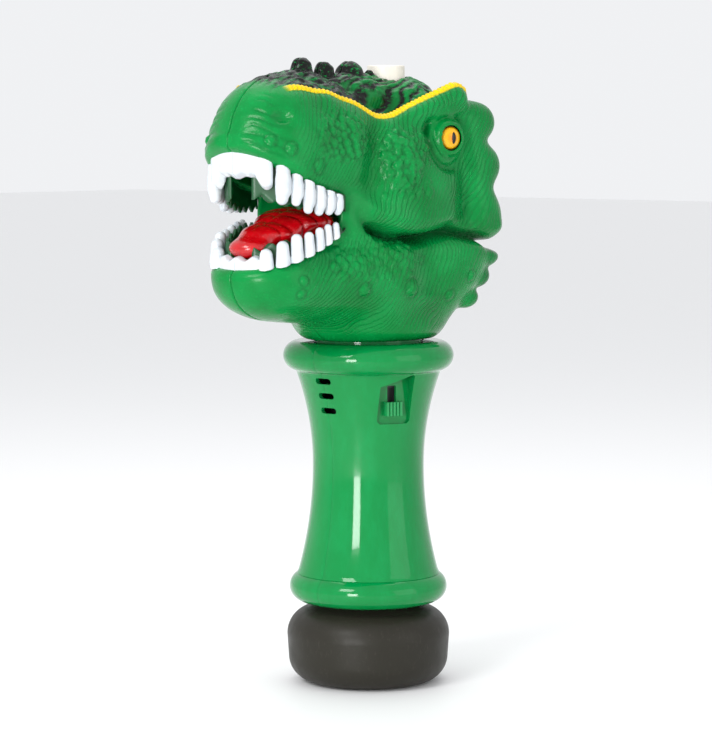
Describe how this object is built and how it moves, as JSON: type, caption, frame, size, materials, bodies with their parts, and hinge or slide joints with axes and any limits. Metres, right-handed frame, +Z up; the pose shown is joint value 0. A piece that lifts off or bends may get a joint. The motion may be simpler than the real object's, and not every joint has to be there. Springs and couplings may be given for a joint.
{
  "type": "bubble machine",
  "caption": "Hand-held toy dinosaur bubble wand: a green head with open jaws on a waisted handle, standing on its black refill bottle.",
  "frame": {"origin": "centre of the bottle's flat foot", "axes": "+Z up along the handle; the head looks along -Y; the toy's left side is +X"},
  "size_m": [0.0758, 0.1293, 0.2522],
  "materials": {
    "handle_green": "glossy injection moulded plastic",
    "head_green": "glossy moulded plastic with painted crown and ridges",
    "bottle_black": "satin charcoal plastic",
    "seal_rubber": "soft black rubber",
    "white_plastic": "unpainted moulded plastic",
    "black_plastic": "unpainted black plastic",
    "knob_green": "satin plastic",
    "cell_jacket": "printed sleeve over steel",
    "steel": "bare steel",
    "motor_can": "drawn steel can",
    "brass": "bare brass",
    "red_lead": "insulated lead",
    "board_green": "solder mask",
    "liner_green": "dark satin plastic",
    "tooth_white": "glossy plastic",
    "tongue_red": "glossy plastic",
    "eye_gloss": "printed iris under clear gloss",
    "clear_lens": "clear moulded lens",
    "gear_white": "self-coloured slippery plastic",
    "tube_clear": "clear soft tube",
    "nozzle_ivory": "satin off-white plastic",
    "ring_mint": "satin plastic"
  },
  "bodies": {
    "shell": {"bottle_seal": "seal_rubber", "bottle_socket": "white_plastic", "handle_left": "handle_green", "handle_right": "handle_green", "case_screws": "steel", "switch_body": "black_plastic", "battery_carrier": "black_plastic", "cells": "cell_jacket", "contact_springs": "steel", "contact_plates": "brass", "battery_leads": "red_lead", "circuit_board": "board_green", "motor_leads": "red_lead", "neck_collar": "handle_green", "head_left": "head_green", "head_right": "head_green", "mouth_liner": "liner_green", "upper_teeth_left": "tooth_white", "upper_teeth_right": "tooth_white", "lower_teeth_left": "tooth_white", "lower_teeth_right": "tooth_white", "tongue": "tongue_red", "eye_left": "eye_gloss", "eye_right": "eye_gloss", "throat_lens": "clear_lens", "light_board": "board_green", "throat_light": "clear_lens", "pump_housing": "white_plastic", "pump_axle": "steel", "pump_tube": "tube_clear", "suction_tube": "tube_clear", "delivery_tube": "tube_clear", "mechanism_plate": "white_plastic", "motor": "motor_can", "fan_housing": "white_plastic", "air_duct": "white_plastic", "outlet_nozzle": "nozzle_ivory", "bubble_ring": "ring_mint"},
    "bottle": {"bottle": "bottle_black"},
    "battery_door": {"battery_door": "handle_green", "door_screw": "steel"},
    "switch_knob": {"switch_knob": "knob_green"},
    "motor_rotor": {"motor_shaft": "steel", "pinion": "brass", "impeller": "gear_white"},
    "pump_rotor": {"pump_gear": "gear_white", "pump_rollers": "gear_white"}
  },
  "joints": [
    {"name": "bottle_pull", "type": "slide", "parent": "shell", "child": "bottle", "axis": [0, 0, -1], "range_m": [0, 0.05]},
    {"name": "door_pull", "type": "slide", "parent": "shell", "child": "battery_door", "axis": [0, 1, 0], "range_m": [0, 0.03]},
    {"name": "switch_slide", "type": "slide", "parent": "shell", "child": "switch_knob", "axis": [0, 0, 1], "range_m": [0, 0.005]},
    {"name": "motor_spin", "type": "hinge", "parent": "shell", "child": "motor_rotor", "pos_m": [0, 0.011, 0.2], "axis": [0, 0, 1], "continuous": true},
    {"name": "pump_spin", "type": "hinge", "parent": "shell", "child": "pump_rotor", "pos_m": [0, -0.009, 0.16], "axis": [0, 0, 1], "continuous": true}
  ],
  "couplings": [
    {"joint": "pump_spin", "follows": "motor_spin", "ratio": -0.25}
  ]
}
